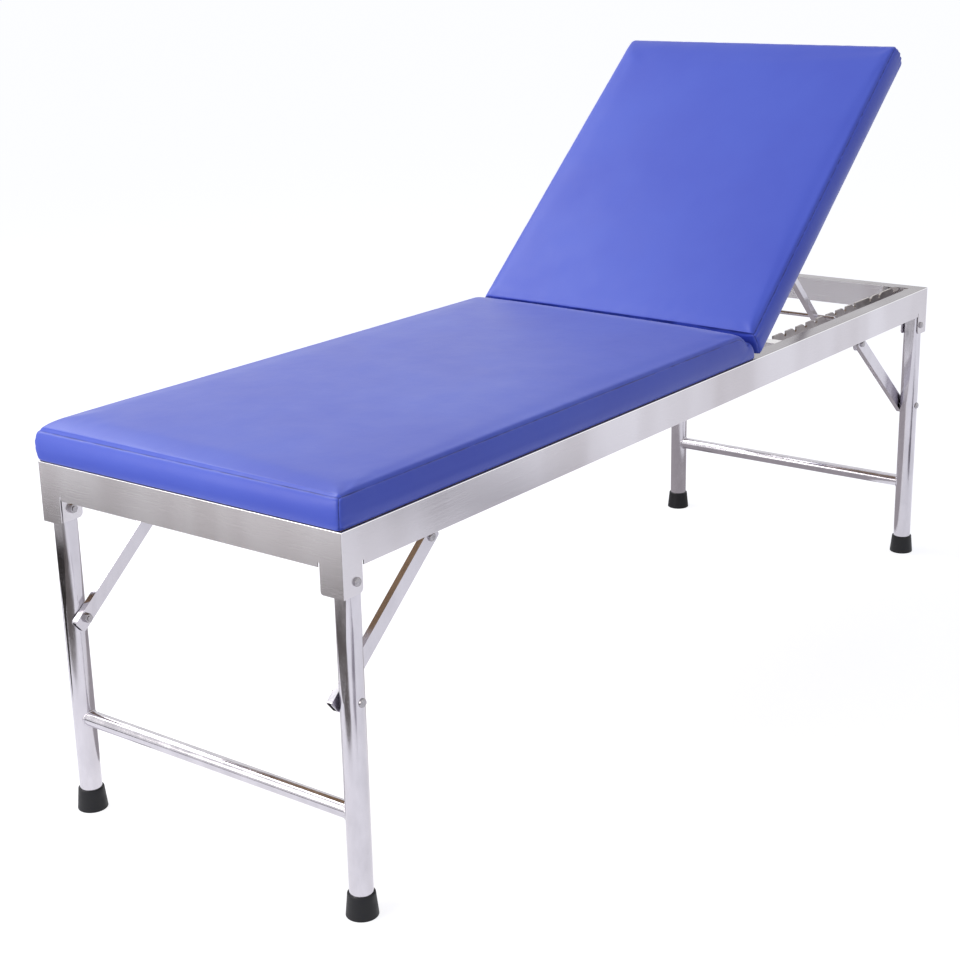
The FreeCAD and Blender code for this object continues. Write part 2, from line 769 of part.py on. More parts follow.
def prop_arm():
    """A square tube from the pivot on the backrest down to the rod."""
    x, z = prop_pivot_leaned()
    length = hypot(rod_x - x, z - rod_height)
    fall = degrees(atan2(z - rod_height, rod_x - x))
    half = arm_size / 2
    start, end = x - arm_overhang, x + length + arm_overhang
    tube = box(start, end, arm_y - half, arm_y + half, z - half, z + half)
    tube = tube.cut(box(start, end, arm_y - half + arm_wall, arm_y + half - arm_wall,
                        z - half + arm_wall, z + half - arm_wall))
    tube = tube.cut(rod_y(bolt_hole_radius, x, z, arm_y - half, arm_y + half))
    tube = tube.cut(rod_y(rod_radius + running_gap, x + length, z, arm_y - half, arm_y + half))
    tube.rotate(Vector(x, 0, z), ALONG_Y, fall)
    return tube


def prop_rod():
    """The rod across both arms, which ends just inside the racks."""
    reach = rack_inner_face - rod_end_gap
    return rod_y(rod_radius, rod_x, rod_height, -reach, reach)


def build_frame():
    """Everything that stands still."""
    for side, word in ((-1, "left"), (1, "right")):
        save("side_rail_" + word, place(side_rail(), 1, side))
        save("rack_" + word, place(rack(), 1, side))
        ends, middle = knuckle_spans()
        save("seat_hinge_leaf_" + word, place(hinge_leaf(-1, frame_top, ends, middle), 1, side))
    for end, word in ((-1, "foot"), (1, "head")):
        save(word + "_rail", place(end_rail(), end, 1))
        for side, hand in ((-1, "left"), (1, "right")):
            save(word + "_corner_bracket_" + hand, place(corner_bracket(), end, side))
            save(word + "_strut_bracket_" + hand, place(strut_bracket(), end, side))
    save("seat_crossmember", crossmember(seat_crossmember_x))
    save("hinge_crossmember", crossmember(hinge_crossmember_x))
    save("rack_crossmember", crossmember(rack_crossmember_x))
    save("rack_bolts", *[place(rack_bolt(), 1, side) for side in (-1, 1)])
    save("hinge_pins", *[place(hinge_pin(), 1, side) for side in (-1, 1)])
    save("seat_board", seat_board())
    save("seat_pad", seat_pad())
    save("seat_screws", *seat_screws())
    corners = [(end, side) for end in (-1, 1) for side in (-1, 1)]
    save("leg_pivot_bolts", *[place(leg_pivot_bolt(), end, side) for end, side in corners])
    save("leg_pivot_nuts", *[place(leg_pivot_nut(), end, side) for end, side in corners])
    save("leg_pivot_washers", *[place(leg_pivot_washer(), end, side) for end, side in corners])
    save("strut_pivot_bolts", *[place(strut_pivot_bolt(), end, side) for end, side in corners])
    save("strut_pivot_nuts", *[place(strut_pivot_nut(), end, side) for end, side in corners])


def build_backrest():
    """The raised backrest and its prop."""
    save("backrest_board", backrest_board())
    save("backrest_pad", backrest_pad())
    save("backrest_screws", *backrest_screws())
    for side, word in ((-1, "left"), (1, "right")):
        ends, middle = knuckle_spans()
        leaf = hinge_leaf(1, hinge_height + backrest_board_w, middle, ends)
        save("backrest_hinge_leaf_" + word, lean(place(leaf, 1, side)))
        save("prop_bracket_" + word, lean(place(prop_bracket(), 1, side)))
        save("prop_arm_" + word, place(prop_arm(), 1, side))
    save("prop_pivot_bolts", *[lean(place(prop_pivot_bolt(), 1, side)) for side in (-1, 1)])
    save("prop_pivot_nuts", *[lean(place(prop_pivot_nut(), 1, side)) for side in (-1, 1)])
    save("prop_rod", prop_rod())


def build_legs():
    """The two folding pairs of legs and their struts."""
    for end, word in ((-1, "foot"), (1, "head")):
        for side, hand in ((-1, "left"), (1, "right")):
            save(word + "_leg_" + hand, place(leg(), end, side))
            save(word + "_rubber_" + hand, place(rubber_foot(), end, side))
            save(word + "_strut_" + hand, place(strut(), end, side))
        save(word + "_crossbar", place(crossbar(), end, 1))
        save(word + "_strut_bolts", *[place(strut_bolt(), end, side) for side in (-1, 1)])
        save(word + "_strut_nuts", *[place(strut_nut(), end, side) for side in (-1, 1)])


os.makedirs("parts", exist_ok=True)
build_frame()
build_backrest()
build_legs()
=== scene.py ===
"""Recovery couch with a folding steel frame: its looks, studio and camera.

Metres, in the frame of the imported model: the origin is on the floor under the middle of the
couch, +X runs to the head end, +Y to the right of a person lying on it, and +Z is up.
"""
import bmesh
import bpy
import json
import numpy as np
from math import cos, pi, radians, sin
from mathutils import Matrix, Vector


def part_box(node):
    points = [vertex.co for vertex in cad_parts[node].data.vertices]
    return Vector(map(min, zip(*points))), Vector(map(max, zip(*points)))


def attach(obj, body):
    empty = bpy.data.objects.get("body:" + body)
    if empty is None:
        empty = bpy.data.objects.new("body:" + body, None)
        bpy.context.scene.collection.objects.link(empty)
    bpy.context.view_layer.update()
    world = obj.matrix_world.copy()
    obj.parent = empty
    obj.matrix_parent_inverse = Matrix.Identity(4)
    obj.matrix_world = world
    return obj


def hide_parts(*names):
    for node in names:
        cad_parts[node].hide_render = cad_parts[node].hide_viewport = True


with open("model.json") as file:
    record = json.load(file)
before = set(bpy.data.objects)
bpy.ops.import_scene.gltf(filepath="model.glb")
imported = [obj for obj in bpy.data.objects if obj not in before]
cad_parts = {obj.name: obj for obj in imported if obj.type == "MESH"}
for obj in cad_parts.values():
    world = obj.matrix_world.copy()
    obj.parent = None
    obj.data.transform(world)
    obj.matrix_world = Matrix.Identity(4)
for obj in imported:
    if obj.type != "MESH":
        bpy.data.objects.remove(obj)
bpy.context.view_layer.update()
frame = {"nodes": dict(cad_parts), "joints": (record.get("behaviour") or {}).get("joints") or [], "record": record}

MM = 0.001
TINY = 1e-9
SIDES = (-1, 1)
rng = np.random.default_rng(4)

# Places read from the frame
frame_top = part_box("side_rail_left")[1].z
joint = {j["name"]: j for j in frame["joints"]}
hinge_x, hinge_z = joint["backrest_hinge"]["pos_m"][0], joint["backrest_hinge"]["pos_m"][2]
backrest_angle = radians(-joint["backrest_hinge"]["range_deg"][0])
leg_x = joint["head_legs_fold"]["pos_m"][0]
leg_low, leg_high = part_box("head_leg_right")
leg_y = (leg_low.y + leg_high.y) / 2
leg_radius = (leg_high.y - leg_low.y) / 2
bar_low, bar_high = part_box("head_crossbar")
bar_radius = (bar_high.z - bar_low.z) / 2
bar_z = (bar_low.z + bar_high.z) / 2
rod_low, rod_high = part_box("prop_rod")
rod_x, rod_z = (rod_low.x + rod_high.x) / 2, (rod_low.z + rod_high.z) / 2
rod_radius = (rod_high.z - rod_low.z) / 2

# Cushions
pad_half_width = 305 * MM
pad_sideways = 2 * MM
band_height = 49 * MM
band_bulge = 3 * MM
# The roll at the left side and at the right side, and its reach from the ends
roll_height = (3.5 * MM, 12.5 * MM)
roll_reach = (11 * MM, 22 * MM)
end_reach = 50 * MM
face_setback = 3 * MM
face_reach = 21 * MM
seat_crown = 3 * MM
backrest_crown = 2 * MM
crown_reach = 200 * MM
corner_radius = 9 * MM
edge_radius = 8 * MM
bottom_radius = 4.5 * MM
seat_start = -950.5 * MM
seat_end = 193 * MM
# Run and height of the turned-down end, at the two sides and in the middle
seat_end_roll = ((60 * MM, 62 * MM), (48 * MM, 57 * MM))
end_roll_reach = 40 * MM
backrest_start = 8 * MM
backrest_length = 736 * MM
backrest_lift = 6.3 * MM
bevel_depth = 7 * MM
bevel_reach = 90 * MM
bevel_from = 4 * MM
board_recess = 3 * MM
board_inset = 3.5 * MM
recess_slope = 2.5 * MM
cloth_cap = 1.2 * MM
cloth_pressure = 4.0
cloth_steps = 20
quilt_pitch = 11.5 * MM
band_pitch = 7 * MM
# Grid lines of a cushion near its ends and sides, and near the lower and upper edge of its band
edge_lines = (0, 1.5, 3.5, 6, 9, 13, 19, 27)
band_lines = (0, 1.2, 3, 5.5, 9)

# What the seams do to the cover, in millimetres: creases, pinches beside the corners, ruffles, slack
groove_top = 1.2
groove_corner = 1.1
groove_reach = 1.6
pinch_depth = 0.8
pinch_fold = 2.0
pinch_reach = 12
pinch_wave = 1.7
# Share of the pinches at the left side and at the right side
pinch_sides = (1.1, 0.35)
ruffle_depth = 0.5
ruffle_reach = 9
ruffle_pitch = 26
slack_depth = 0.5
slack_pitch = 240

# The cover's turned-under edge below the backrest, with its staples
hem_outside = 3.2 * MM
hem_inside = 34 * MM
hem_thickness = 0.12 * MM
staple_inset = 24 * MM
staple_pitch = 46 * MM
staple_crown = 9 * MM
staple_wire = 0.6 * MM
staple_proud = 0.12 * MM

# The prop's rod and the crossbars' welds
rod_half_length = 262 * MM
rod_chamfer = 1.2 * MM
bead_radius = 1.7

# Painted reflections: sheets just above the studio floor that glow with a fixed colour and show only in
# reflections. They stand in for the shade under and beside the couch and for darker and lighter surroundings:
# name, reach along x and along y, height, colour
reflection_sheets = (("painted_reflection_behind", (-0.75, 2.4), (-0.15, 2.4), 3 * MM, "#B5B0B3"),
         ("painted_reflection_before", (-3.2, -1.5), (-0.6, 0.68), 3 * MM, "#716C69"),
         ("painted_reflection_end", (-2.8, -1.94), (0.68, 2.1), 5 * MM, "#FFFDFB"),
         ("painted_reflection_strip", (-2.7, -1.95), (1.46, 1.62), 9 * MM, "#7B7774"),
         ("painted_reflection_inside", (-1.93, -1.1), (0.7, 2.1), 6 * MM, "#3A3735"),
         ("painted_reflection_foot_side", (-1.5, -1.2), (-1.7, -0.85), 3 * MM, "#A29EA8"),
         ("painted_reflection_head_side", (0.5, 0.85), (-1.8, -0.85), 3 * MM, "#7F7B84"))

# Lights: name, place, target, width, height, watts, colour
softboxes = (("key", (-3.6, 1.1, 1.8), (0, 0, 0.6), 2.6, 1.8, 62, "#FFF8F2"),
             ("back", (-0.65, 2.6, 3.2), (-0.4, 0, 0.6), 2.6, 1.8, 62, "#FFFFFF"))
world_light = 0.48
floor_glow = 0.84
floor_reach = 40.0

# Camera and picture
picture_size = 960
camera_place = (-2.60184, -1.79270, 1.35918)
camera_turn = (72.4861, 1.2586, -53.1687)
focal_pixels = 1774.92
sensor = 36.0


# Meshes from numpy

def make_object(name, points, faces, body, material, smooth=True):
    """A mesh object from an array of points and a list or array of faces, riding on a body."""
    mesh = bpy.data.meshes.new(name)
    mesh.from_pydata(np.asarray(points, float).tolist(), [], [list(map(int, f)) for f in faces])
    mesh.polygons.foreach_set("use_smooth", np.full(len(mesh.polygons), smooth))
    mesh.update()
    obj = bpy.data.objects.new(name, mesh)
    bpy.context.scene.collection.objects.link(obj)
    obj.data.materials.append(material)
    if body:
        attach(obj, body)
    return obj


def grid_faces(rows, columns, wrap=False):
    """Quads of a grid of points stored row by row; wrap joins the last column to the first."""
    i, j = np.meshgrid(np.arange(rows - 1), np.arange(columns if wrap else columns - 1), indexing="ij")
    k = (j + 1) % columns
    here, above = i * columns, (i + 1) * columns
    return np.stack([here + j, here + k, above + k, above + j], -1).reshape(-1, 4)


def merge(parts):
    """Several (points, faces) pairs as one pair."""
    points, faces, start = [], [], 0
    for p, f in parts:
        points.append(np.asarray(p).reshape(-1, 3))
        faces += [[start + v for v in face] for face in f]
        start += len(points[-1])
    return np.concatenate(points), faces


def turned(profile, steps=32):
    """A closed round piece about Z: each (radius, height) of the profile carried round a full turn."""
    t = np.linspace(0, 2 * pi, steps, endpoint=False)
    r, z = np.array(profile).T
    height = np.repeat(z[:, None], steps, 1)
    points = np.stack([np.outer(r, np.cos(t)), np.outer(r, np.sin(t)), height], -1)
    faces = grid_faces(len(r), steps, True).tolist()
    last = (len(r) - 1) * steps
    return points.reshape(-1, 3), faces + [list(range(steps))[::-1], list(range(last, last + steps))]


def lines(length, fine, pitch):
    """Grid lines from 0 to length: fine ones near both ends, the others about a pitch apart."""
    fine = np.array(fine)
    count = max(2, round((length - 2 * fine[-1]) / pitch))
    middle = np.linspace(fine[-1], length - fine[-1], count + 1)[1:-1]
    return np.concatenate([fine, middle, length - fine[::-1]])


def skin(us, vs, ws):
    """The skin of a block of grid lines as (points, quads).

    The grids of its six sides share their border points.
    """
    nu, nv, nw = len(us), len(vs), len(ws)
    ids = np.arange(nu * nv * nw).reshape(nu, nv, nw)

    def quads(side, flip):
        a, b, c, d = side[:-1, :-1], side[1:, :-1], side[1:, 1:], side[:-1, 1:]
        found = np.stack([a, b, c, d], -1).reshape(-1, 4)
        return found[:, ::-1] if flip else found

    sides = ((ids[:, :, 0], True), (ids[:, :, -1], False), (ids[:, 0, :], False),
             (ids[:, -1, :], True), (ids[0], True), (ids[-1], False))
    faces = np.concatenate([quads(*side) for side in sides])
    used, faces = np.unique(faces, return_inverse=True)
    points = np.stack(np.meshgrid(us, vs, ws, indexing="ij"), -1).reshape(-1, 3)[used]
    return points, faces.reshape(-1, 4)


def square_to_round(s, t, power=2.0):
    """The factor that carries a square corner's lines onto arcs.

    It is the larger of s and t over their norm, the root of the sum of their powers.
    """
    length = (np.abs(s) ** power + np.abs(t) ** power) ** (1 / power)
    return np.where(length > TINY, np.maximum(s, t) / np.maximum(length, TINY), 1.0)


def swelling(in_u, in_v, reach_u, reach_v):
    """The share of a swelling's full height, 0 at a seam and 1 past the reach, with full corners.

    It is 1 - e^2, where e^5 sums the fifth powers of the shares of the two reaches still to go.
    """
    left_u, left_v = 1 - np.clip(in_u / reach_u, 0, 1), 1 - np.clip(in_v / reach_v, 0, 1)
    return 1 - np.clip((left_u ** 5 + left_v ** 5) ** 0.2, 0, 1) ** 2


def way_inside(block, length):
    """How far each point of a block is from the nearest of its four upright sides."""
    from_ends = np.minimum(block[:, 0], length - block[:, 0])
    return np.minimum(from_ends, pad_half_width - np.abs(block[:, 1]))


def round_edges(block, length):
    """The block's points with round corners, and the core and way out that they were turned about.

    In plan the corners turn on arcs of the corner radius about the core, the plan with that radius
    taken off. The sides turn into the top and the bottom on arcs of the two edge radii.
    """
    u, v, w = block.T
    core_u = np.clip(u, corner_radius, length - corner_radius)
    core_v = np.clip(v, corner_radius - pad_half_width, pad_half_width - corner_radius)
    du, dv = u - core_u, v - core_v
    turn = square_to_round(np.abs(du), np.abs(dv))
    du, dv = du * turn, dv * turn
    out = np.hypot(du, dv)
    rise = w.copy()
    shrink = np.ones_like(w)
    for radius, low in ((edge_radius, False), (bottom_radius, True)):
        s = np.clip(out - (corner_radius - radius), 0, None)
        t = np.clip((radius - w) if low else (w - (band_height - radius)), 0, None)
        k = np.where((s > 0) & (t > 0), square_to_round(s, t), 1.0)
        shrink = np.where(k < 1, (corner_radius - radius + s * k) / np.maximum(out, TINY), shrink)
        rise = np.where(k < 1, radius - t * k if low else band_height - radius + t * k, rise)
    return core_u + du * shrink, core_v + dv * shrink, rise, core_u, core_v, out


def top_swell(in_u, in_v, v, crown_height):
    """How far the top stands above its seams: a roll beside them and a crown over the whole.

    The roll's height and reach grow evenly from the left side to the right.
    """
    across = [-pad_half_width, pad_half_width]
    height, reach = np.interp(v, across, roll_height), np.interp(v, across, roll_reach)
    swell = height * swelling(in_u, in_v, end_reach, reach)
    return swell + crown_height * swelling(in_u, in_v, crown_reach, crown_reach)


def roll_end(x, rise, in_v, length, crown_height, end_roll):
    """The top turned down to the far end on the curve s^1.5 + t^1.5 = 1.

    Here s and t are the shares of the roll's run and height, both larger near the two sides than in
    the middle.
    """
    inside = swelling(end_reach, in_v, end_reach, end_roll_reach)[:, None]
    run, drop = (np.array(end_roll[0]) * (1 - inside) + np.array(end_roll[1]) * inside).T
    low = band_height + np.mean(roll_height) + crown_height - drop
    s, t = np.clip(x - (length - run), 0, None), np.clip(rise - low, 0, None)
    k = square_to_round(s / run, t / drop, 1.5)
    x = np.where(s > 0, length - run + s * k, x)
    return x, np.where(s * t > 0, low + t * k, rise)


def cushion_shape(block, length, crown_height, start_bevel, end_roll):
    """The box cushion's points from its block's points (u, v, w).

    The edges are rounded, the top swells, and the free sides bulge with the sine of the height. The
    bottom is recessed inside its rim, so that the board shows there. A bevelled start leans back in
    step with w; the other start is set back near its top with the square of the height.
    """
    u, v, w = block.T
    x, y, rise, core_u, core_v, out = round_edges(block, length)
    in_u, in_v = u if end_roll else length - u, pad_half_width - np.abs(v)
    rise = rise + top_swell(in_u, in_v, v, crown_height) * (w > band_height - 1e-6)
    bulge = band_bulge * np.sin(pi * np.clip(w / band_height, 0, 1))
    bulge = bulge * np.clip(out / corner_radius, 0, 1)
    free_end = u < core_u if end_roll else u > core_u
    x += bulge * np.sign(u - core_u) * free_end
    y += bulge * np.sign(v - core_v) * (np.abs(v - core_v) > 0)
    inside = np.clip((way_inside(block, length) - board_inset) / recess_slope, 0, 1)
    rise = rise + board_recess * inside * (w < 1e-6)
    if start_bevel:
        share = np.clip((rise - bevel_from) / (band_height - bevel_from), 0, 1.2)
        x += start_bevel * share * np.clip(1 - x / bevel_reach, 0, 1)
    if end_roll:
        below_seam = np.clip(1 - (band_height - w) / face_reach, 0, 1)
        x += face_setback * below_seam ** 2 * (u < corner_radius)
        x, rise = roll_end(x, rise, in_v, length, crown_height, end_roll)
    return np.stack([x, y, rise], -1)


def read_points(obj, name=None):
    """The coordinates of a mesh, or one of its vector attributes, as an array."""
    data = obj.data.attributes[name].data if name else obj.data.vertices
    values = np.zeros(len(data) * 3, np.float32)
    data.foreach_get("vector" if name else "co", values)
    return values.reshape(-1, 3).astype(float)


def write_points(obj, points):
    """Put an array of coordinates into a mesh."""
    obj.data.vertices.foreach_set("co", np.asarray(points, np.float32).ravel())
    obj.data.update()


def evaluated_points(obj):
    """The coordinates of a mesh with its modifiers applied."""
    mesh = obj.evaluated_get(bpy.context.evaluated_depsgraph_get()).data
    values = np.zeros(len(mesh.vertices) * 3, np.float32)
    mesh.vertices.foreach_get("co", values)
    return values.reshape(-1, 3).astype(float)


def inflate(obj, held):
    """Let the cover swell as cloth under pressure, no point further than the cap.

    The held points stay still.
    """
    rest = read_points(obj)
    group = obj.vertex_groups.new(name="held")
    group.add(np.flatnonzero(held).tolist(), 1.0, "REPLACE")
    cloth = obj.modifiers.new("Cloth", "CLOTH")
    settings = cloth.settings
    settings.quality = 5
    settings.mass = 0.3
    settings.tension_stiffness = 30
    settings.compression_stiffness = 30
    settings.shear_stiffness = 12
    settings.bending_stiffness = 1.0
    settings.use_pressure = True
    settings.uniform_pressure_force = cloth_pressure
    settings.effector_weights.gravity = 0
    settings.vertex_group_mass = "held"
    cloth.point_cache.frame_start = 1
    cloth.point_cache.frame_end = cloth_steps
    for step in range(1, cloth_steps + 1):
        bpy.context.scene.frame_set(step)
    moved = evaluated_points(obj) - rest
    far = np.linalg.norm(moved, axis=1, keepdims=True)
    obj.modifiers.remove(cloth)
    obj.vertex_groups.clear()
    bpy.context.scene.frame_set(1)
    write_points(obj, rest + moved * np.minimum(1, cloth_cap / np.maximum(far, TINY)))


def subdivide(obj):
    """Apply one level of subdivision to a mesh."""
    modifier = obj.modifiers.new("Subdivision", "SUBSURF")
    modifier.levels = 1
    modifier.render_levels = 1
    smooth = bpy.data.meshes.new_from_object(obj.evaluated_get(bpy.context.evaluated_depsgraph_get()))
    obj.modifiers.remove(modifier)
    old = obj.data
    obj.data = smooth
    bpy.data.meshes.remove(old)


def seam_ways(block, length):
    """How far each point of the skin is from the top seam and from the corner seams, in millimetres."""
    u, v, w = block.T
    top = np.where(w > band_height - 0.1 * MM, way_inside(block, length), band_height - w)
    beside = np.hypot(np.minimum(u, length - u), pad_half_width - np.abs(v))
    corner = np.where(w > band_height - 0.1 * MM, 99 * MM, beside)
    return np.abs(top) / MM, corner / MM


def soft_noise(points, pitch):
    """Smooth waves over space, from the sum of a few sines whose lengths are near a pitch."""
    total = np.zeros(len(points))
    for _ in range(7):
        direction = rng.normal(size=3)
        direction /= np.linalg.norm(direction)
        wavelength = pitch * rng.uniform(0.7, 1.5)
        total += np.sin(points @ direction * 2 * pi / wavelength + rng.uniform(0, 2 * pi))
    return total / 7


def seam_details(obj, length, both_ends):
    """Draw the cover in at its seams, pinch it beside the corners and ruffle it along the top ones.

    A point at a way d from a seam goes in by depth times exp of minus d over a reach; the pinches are
    sines of the height that fade away from the corner. Without both ends, only the start is pinched.
    """
    block = read_points(obj, "block")
    points = read_points(obj)
    count = len(obj.data.vertices) * 3
    normals = np.zeros(count, np.float32)
    obj.data.vertex_normals.foreach_get("vector", normals)
    normals = normals.reshape(-1, 3).astype(float)
    top, corner = seam_ways(block, length)
    groove = groove_top * np.exp(-top / groove_reach) + groove_corner * np.exp(-corner / groove_reach)
    fold = np.sin(block[:, 2] / MM / pinch_wave + 5 * soft_noise(block, 50 * MM))
    fold *= 0.5 + 1.2 * soft_noise(block, 30 * MM)
    pinch = np.exp(-corner / pinch_reach) * (pinch_depth + pinch_fold * fold) * np.clip(top / 6, 0, 1)
    pinch *= np.interp(block[:, 1], [-pad_half_width, pad_half_width], pinch_sides)
    pinch *= both_ends | (block[:, 0] < length / 2)
    ruffle = np.exp(-top / ruffle_reach) * ruffle_depth * soft_noise(block, ruffle_pitch * MM)
    slack = slack_depth * soft_noise(block, slack_pitch * MM) * np.clip(top / 40, 0, 1)
    inward = (groove + pinch + ruffle + slack) * MM * (block[:, 2] > 1 * MM)
    write_points(obj, points - normals * inward[:, None])
    store(obj, "seam_mm", np.minimum(top, corner))


def store(obj, name, values):
    """Keep a number for each point of a mesh as an attribute."""
    attribute = obj.data.attributes.new(name, "FLOAT", "POINT")
    attribute.data.foreach_set("value", np.asarray(values, np.float32))


def cushion(name, length, crown_height, start_bevel, end_roll, place, node, body):
    """One box cushion: shaped, swollen, subdivided, seamed and carried to its place."""
    edge = np.array(edge_lines) * MM
    us = lines(length, edge, quilt_pitch)
    vs = lines(2 * pad_half_width, edge, quilt_pitch) - pad_half_width
    ws = lines(band_height, np.array(band_lines) * MM, band_pitch)
    block, faces = skin(us, vs, ws)
    points = cushion_shape(block, length, crown_height, start_bevel, end_roll)
    obj = make_object(name, points, faces, None, vinyl)
    attribute = obj.data.attributes.new("block", "FLOAT_VECTOR", "POINT")
    attribute.data.foreach_set("vector", block.astype(np.float32).ravel())
    on_top_seam = (band_height - block[:, 2] < 0.1 * MM) & (way_inside(block, length) < 0.1 * MM)
    inflate(obj, (block[:, 2] < 1 * MM) | on_top_seam)
    subdivide(obj)
    seam_details(obj, length, not end_roll)
    write_points(obj, place(read_points(obj)))
    obj.data.polygons.foreach_set("use_smooth", np.ones(len(obj.data.polygons), bool))
    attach(obj, body)
    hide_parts(node)
    return obj


def on_seat(points):
    """Cushion coordinates carried onto the frame's flanges."""
    return points + np.array([seat_start, pad_sideways, frame_top])


def on_backrest(points):
    """Coordinates along, across and out of the backrest, from its hinge, carried to where it stands."""
    u, v, w = points.T
    c, s = cos(backrest_angle), sin(backrest_angle)
    return np.stack([hinge_x + u * c - w * s, v, hinge_z + u * s + w * c], -1)


def on_backrest_board(points):
    """Cushion coordinates carried onto the raised backrest."""
    return on_backrest(points + np.array([backrest_start, 0, backrest_lift]))


# Materials

def linear(code):
    """An sRGB hex colour as linear red, green, blue and alpha."""
    values = [int(code[i:i + 2], 16) / 255 for i in (1, 3, 5)]
    return [v / 12.92 if v <= 0.04045 else ((v + 0.055) / 1.055) ** 2.4 for v in values] + [1.0]


def add(tree, kind, settings=None, links=None):
    """A node of one kind, with its settings and the sockets that feed its inputs."""
    node = tree.nodes.new(kind)
    for key, value in (settings or {}).items():
        if isinstance(key, int) or key in node.inputs:
            node.inputs[key].default_value = value
        else:
            setattr(node, key, value)
    for key, socket in (links or {}).items():
        tree.links.new(socket, node.inputs[key])
    return node


def ramp(tree, factor, stops):
    """A colour ramp through (place, hex colour) stops."""
    node = add(tree, "ShaderNodeValToRGB", links={0: factor})
    node.color_ramp.elements[0].position = stops[0][0]
    node.color_ramp.elements[0].color = linear(stops[0][1])
    node.color_ramp.elements[1].position = stops[-1][0]
    node.color_ramp.elements[1].color = linear(stops[-1][1])
    for place, code in stops[1:-1]:
        node.color_ramp.elements.new(place).color = linear(code)
    return node.outputs[0]


def scaled(tree, low, high, factor, start=0.0, end=1.0):
    """A number that runs from low to high as the factor runs from start to end."""
    return add(tree, "ShaderNodeMapRange", {1: start, 2: end, 3: low, 4: high}, {0: factor}).outputs[0]


def bare_material(name):
    """A material without nodes, and its node tree."""
    found = bpy.data.materials.new(name)
    found.use_nodes = True
    found.node_tree.nodes.clear()
    return found, found.node_tree


def material(name):
    """A material with its shader and the place on the piece in millimetres."""
    found, tree = bare_material(name)
    shader = add(tree, "ShaderNodeBsdfPrincipled")
    out = add(tree, "ShaderNodeOutputMaterial", links={0: shader.outputs[0]})
    out.is_active_output = True
    place = add(tree, "ShaderNodeTexCoord").outputs["Object"]
    to_mm = {"operation": "SCALE", "Scale": 1000.0}
    place = add(tree, "ShaderNodeVectorMath", to_mm, {0: place}).outputs[0]
    return found, tree, shader, place


def finish(tree, shader, base, rough, relief, metallic=0.0):
    """Feed the shader its colour, roughness and relief."""
    tree.links.new(base, shader.inputs["Base Color"])
    tree.links.new(rough, shader.inputs["Roughness"])
    tree.links.new(relief, shader.inputs["Normal"])
    shader.inputs["Metallic"].default_value = metallic


def stretched(tree, place, pitch):
    """The place divided by a pitch in millimetres along each axis."""
    return add(tree, "ShaderNodeVectorMath", {"operation": "DIVIDE", 1: pitch}, {0: place}).outputs[0]


def noise(tree, place, pitch, detail=2.0, rough=0.5):
    """Noise whose grain is a pitch in millimetres along each axis."""
    vector = stretched(tree, place, pitch)
    return add(tree, "ShaderNodeTexNoise", {"Scale": 1.0, "Detail": detail, "Roughness": rough},
               {"Vector": vector}).outputs[0]


def bump(tree, height, depth, normal=None):
    """A bump of a depth in millimetres."""
    links = {"Height": height}
    if normal:
        links["Normal"] = normal
    return add(tree, "ShaderNodeBump", {"Strength": 1.0, "Distance": depth * MM}, links).outputs[0]


def mixed(tree, blend, factor, a, b):
    """Two colours mixed; the factor is a number or a socket."""
    node = add(tree, "ShaderNodeMix", {"data_type": "RGBA", "blend_type": blend})
    if isinstance(factor, float):
        node.inputs[0].default_value = factor
    else:
        tree.links.new(factor, node.inputs[0])
    for socket, value in ((node.inputs[6], a), (node.inputs[7], b)):
        if isinstance(value, list):
            socket.default_value = value
        else:
            tree.links.new(value, socket)
    return node.outputs[2]


def make_vinyl():
    """PVC-coated fabric, calendered with a fine pebble grain: a soft satin sheen and no weave."""
    found, tree, shader, place = material("blue PVC-coated fabric")
    cloud = noise(tree, place, (260, 260, 260), 3.0)
    base = ramp(tree, cloud, [(0.3, "#475AC8"), (0.7, "#4E64D0")])
    seam = add(tree, "ShaderNodeAttribute", {"attribute_name": "seam_mm"}).outputs["Fac"]
    # Painted shade: the cover darkened towards deep blue along its seams, as in the shadow of their creases,
    # broken up with noise
    crease = scaled(tree, 1.0, 0.0, seam, 0.3, 1.9)
    seam_shade = scaled(tree, 0.1, 0.75, noise(tree, place, (40, 40, 9), 3.0), 0.35, 0.65)
    seam_shade = add(tree, "ShaderNodeMath", {"operation": "MULTIPLY"}, {0: crease, 1: seam_shade}).outputs[0]
    base = mixed(tree, "MIX", seam_shade, base, linear("#161C55"))
    # The real pebbles are about 0.6 mm across; drawn at 1.6 mm so that they show
    round_cells = {"Scale": 1.0, "feature": "SMOOTH_F1", "Smoothness": 0.6}
    pebble = add(tree, "ShaderNodeTexVoronoi", round_cells,
                 {"Vector": stretched(tree, place, (1.6, 1.6, 1.6))}).outputs["Distance"]
    wave = noise(tree, place, (22, 22, 22), 2.0)
    rough = scaled(tree, 0.36, 0.5, noise(tree, place, (60, 60, 60), 4.0))
    relief = bump(tree, wave, 0.25, bump(tree, pebble, 0.05))
    finish(tree, shader, base, rough, relief)
    shader.inputs["IOR"].default_value = 1.5
    shader.inputs["Specular IOR Level"].default_value = 0.46
    shader.inputs["Sheen Weight"].default_value = 0.5
    shader.inputs["Sheen Roughness"].default_value = 0.28
    return found


